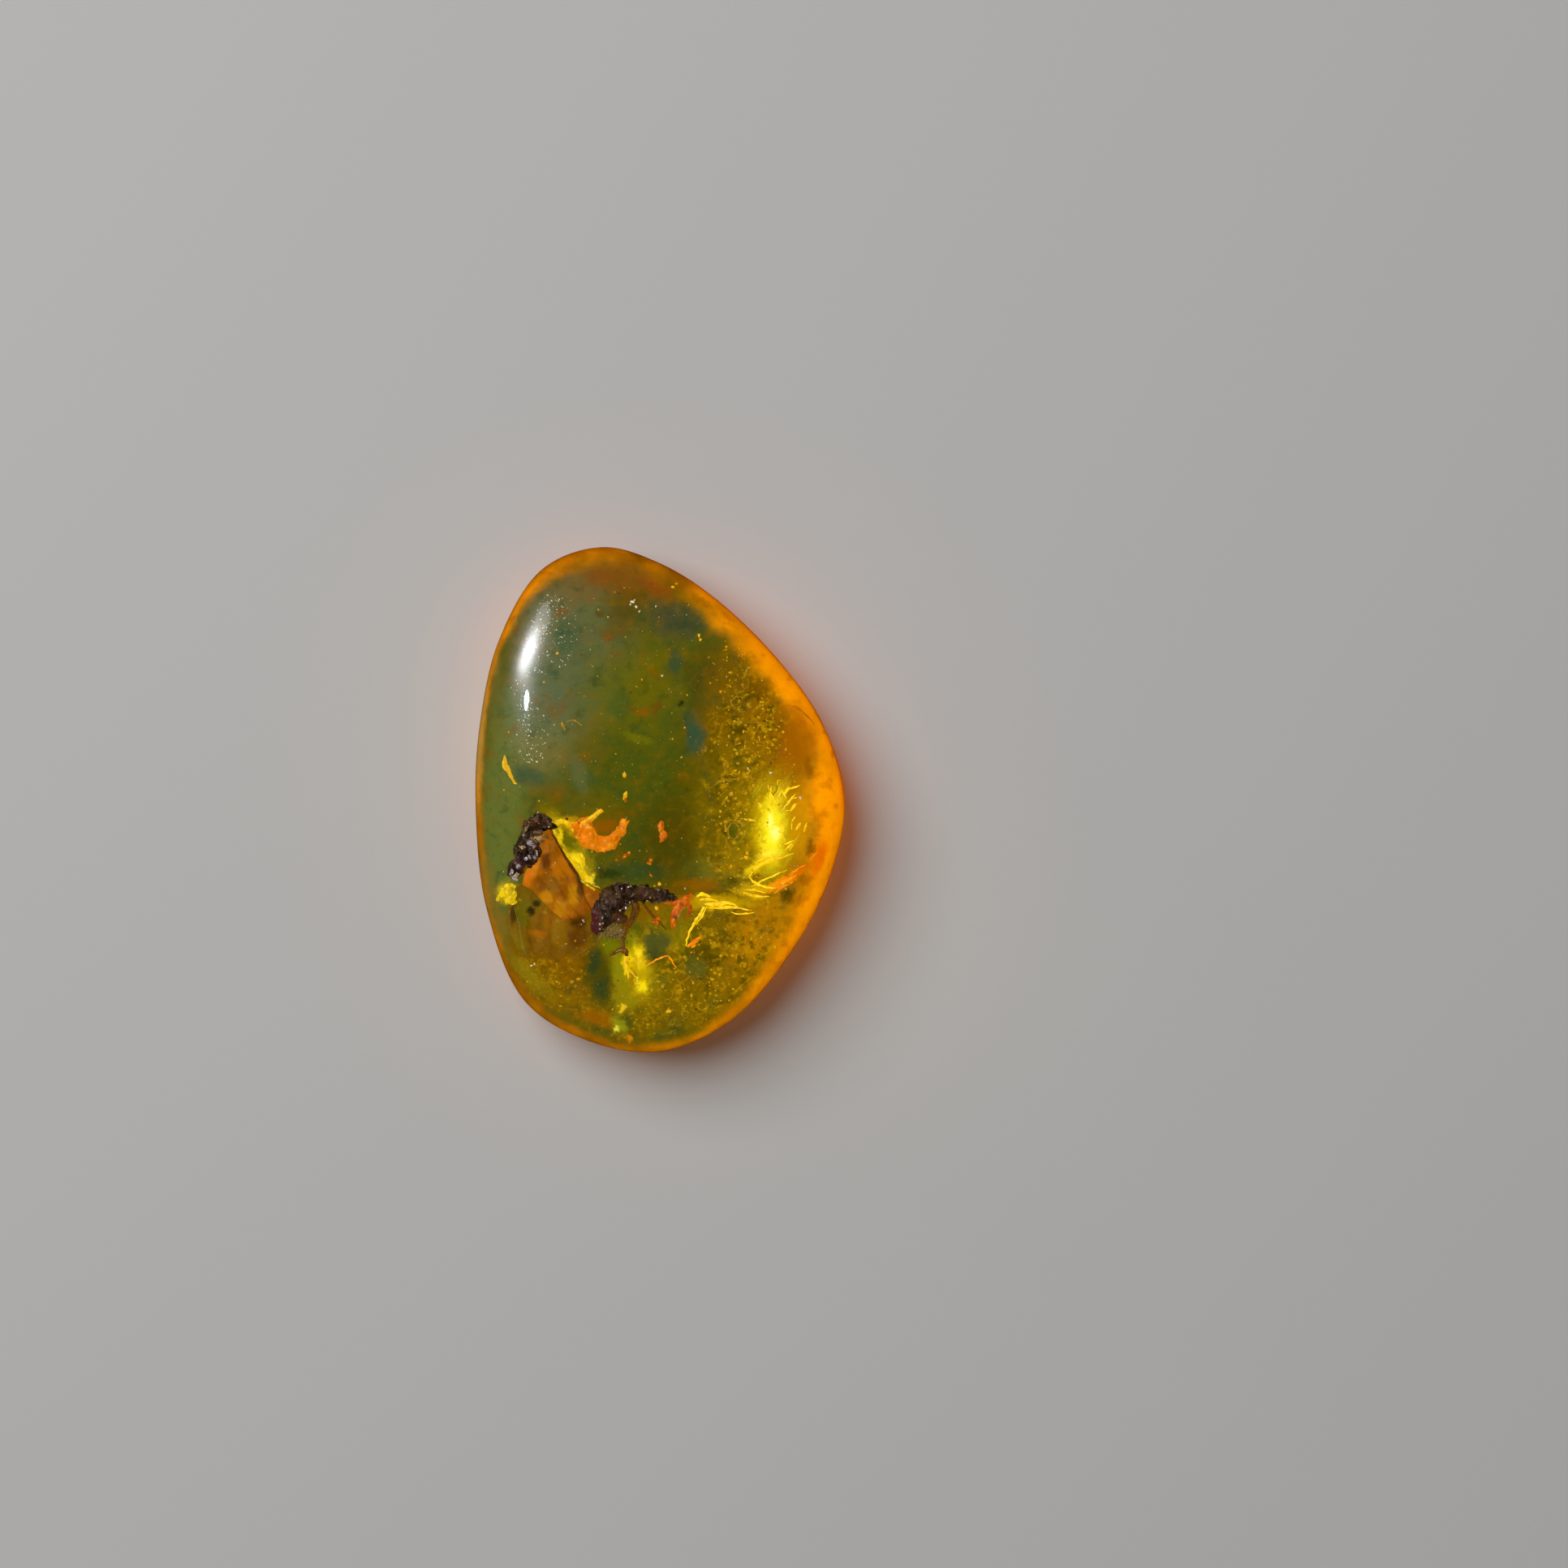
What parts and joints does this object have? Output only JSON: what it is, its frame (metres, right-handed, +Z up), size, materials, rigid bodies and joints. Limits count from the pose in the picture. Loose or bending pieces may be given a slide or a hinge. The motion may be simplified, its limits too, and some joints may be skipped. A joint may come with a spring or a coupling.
{
  "type": "insect in amber",
  "caption": "Polished egg-shaped amber pebble with a flat base, a winged and a wingless insect and plant debris sealed inside.",
  "frame": {"origin": "centre of the outline's box, on the ground flat base", "axes": "+Z up from the base through the dome, +Y along the pebble towards its narrow end, +X across it"},
  "size_m": [0.0204, 0.0279, 0.0095],
  "materials": {
    "amber": "polished",
    "insect_brown": "satin, chitin",
    "insect_black": "satin, chitin",
    "bark_orange": "matt bark",
    "splinter_gold": "matt wood fibre"
  },
  "bodies": {
    "root": {"amber_upper": "amber", "amber_lower": "amber", "winged_insect": "insect_brown", "wingless_insect": "insect_black", "bark_flake": "bark_orange", "small_flake": "bark_orange", "plant_splinter": "splinter_gold", "side_splinter": "splinter_gold"}
  },
  "joints": []
}
